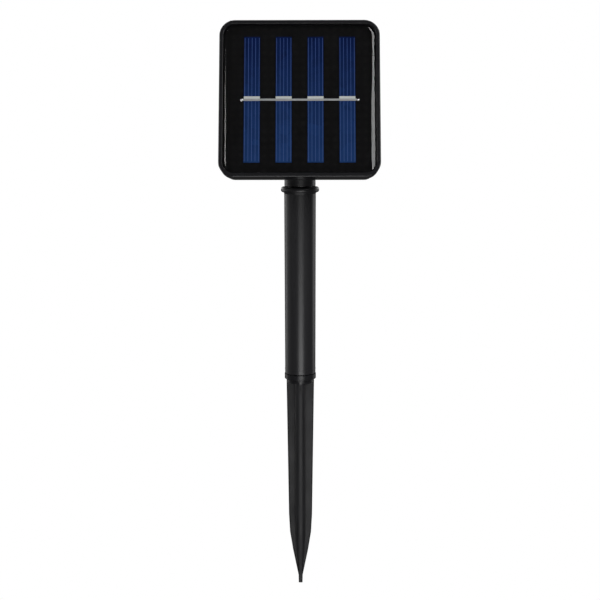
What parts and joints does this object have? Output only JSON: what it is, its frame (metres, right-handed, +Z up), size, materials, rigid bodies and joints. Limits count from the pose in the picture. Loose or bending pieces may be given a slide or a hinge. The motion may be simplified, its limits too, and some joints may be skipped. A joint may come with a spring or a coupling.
{
  "type": "solar panel head on a ground stake",
  "caption": "Square solar panel head with a rechargeable cell, on a tilting neck, push-fit pole and cross-bladed ground stake, for a garden light string.",
  "frame": {"origin": "on the pole axis at the ground line, the underside of the stake's flange", "axes": "+Z up along the pole, the panel faces -Y, +X to its right as seen from the front"},
  "size_m": [0.065, 0.0352, 0.2414],
  "materials": {
    "stake_plastic": "moulded black ABS",
    "pole_plastic": "extruded and moulded black ABS, satin",
    "neck_plastic": "moulded black ABS",
    "case_plastic": "moulded black ABS, gloss",
    "rear_plastic": "moulded black ABS, fine spark texture",
    "clear_resin": "clear cast epoxy",
    "board_black": "black solder mask",
    "silicon": "blue polycrystalline silicon",
    "silver_print": "printed silver",
    "tinned_copper": "tinned",
    "solder": "bright solder",
    "rubber": "moulded",
    "steel": "zinc plated",
    "contact_steel": "nickel plated",
    "cell_can": "nickel plated can",
    "sleeve": "shrunk sleeve",
    "pcb_green": "green solder mask",
    "chip_black": "moulded epoxy",
    "capacitor": "sleeved can",
    "inductor": "dipped coating",
    "switch_black": "moulded",
    "plunger_white": "moulded",
    "lead_red": "PVC",
    "lead_black": "PVC"
  },
  "bodies": {
    "stake": {"ground_stake": "stake_plastic"},
    "pole": {"pole_tube": "pole_plastic"},
    "neck": {"neck_socket": "neck_plastic"},
    "head": {"tilt_bolt": "steel", "tilt_nut": "steel", "tilt_washers": "steel", "front_case": "case_plastic", "panel_board": "board_black", "cell_strip_1": "silicon", "cell_strip_2": "silicon", "cell_strip_3": "silicon", "cell_strip_4": "silicon", "cell_busbars": "silver_print", "cell_ribbon": "tinned_copper", "ribbon_joints": "solder", "resin_cover": "clear_resin", "rear_case": "rear_plastic", "case_gasket": "rubber", "case_screws": "steel", "battery_cell": "cell_can", "battery_sleeve": "sleeve", "battery_plus_plate": "contact_steel", "battery_minus_plate": "contact_steel", "battery_spring": "contact_steel", "control_board": "pcb_green", "board_screws": "steel", "controller_chip": "chip_black", "filter_capacitor": "capacitor", "boost_inductor": "inductor", "power_switch": "switch_black", "mode_switch": "switch_black", "cable_gland": "rubber", "panel_lead_plus": "lead_red", "panel_lead_minus": "lead_black", "battery_lead_plus": "lead_red", "battery_lead_minus": "lead_black"},
    "power_button": {"power_button": "rubber", "power_switch_plunger": "plunger_white"},
    "mode_button": {"mode_button": "rubber", "mode_switch_plunger": "plunger_white"}
  },
  "joints": [
    {"name": "pole_lift", "type": "slide", "parent": "stake", "child": "pole", "axis": [0, 0, 1], "range_m": [0, 0.017]},
    {"name": "head_swivel", "type": "hinge", "parent": "pole", "child": "neck", "pos_m": [0, 0, 0.0859], "axis": [0, 0, 1], "continuous": true},
    {"name": "head_tilt", "type": "hinge", "parent": "neck", "child": "head", "pos_m": [0, 0, 0.0986], "axis": [-1, 0, 0], "range_deg": [-18, 72]},
    {"name": "power_button_press", "type": "slide", "parent": "head", "child": "power_button", "axis": [0, -0.9511, 0.309], "range_m": [0, 0.0005], "stiffness_N_per_m": 2500, "springref_m": -0.0002},
    {"name": "mode_button_press", "type": "slide", "parent": "head", "child": "mode_button", "axis": [0, -0.9511, 0.309], "range_m": [0, 0.0005], "stiffness_N_per_m": 2500, "springref_m": -0.0002}
  ]
}
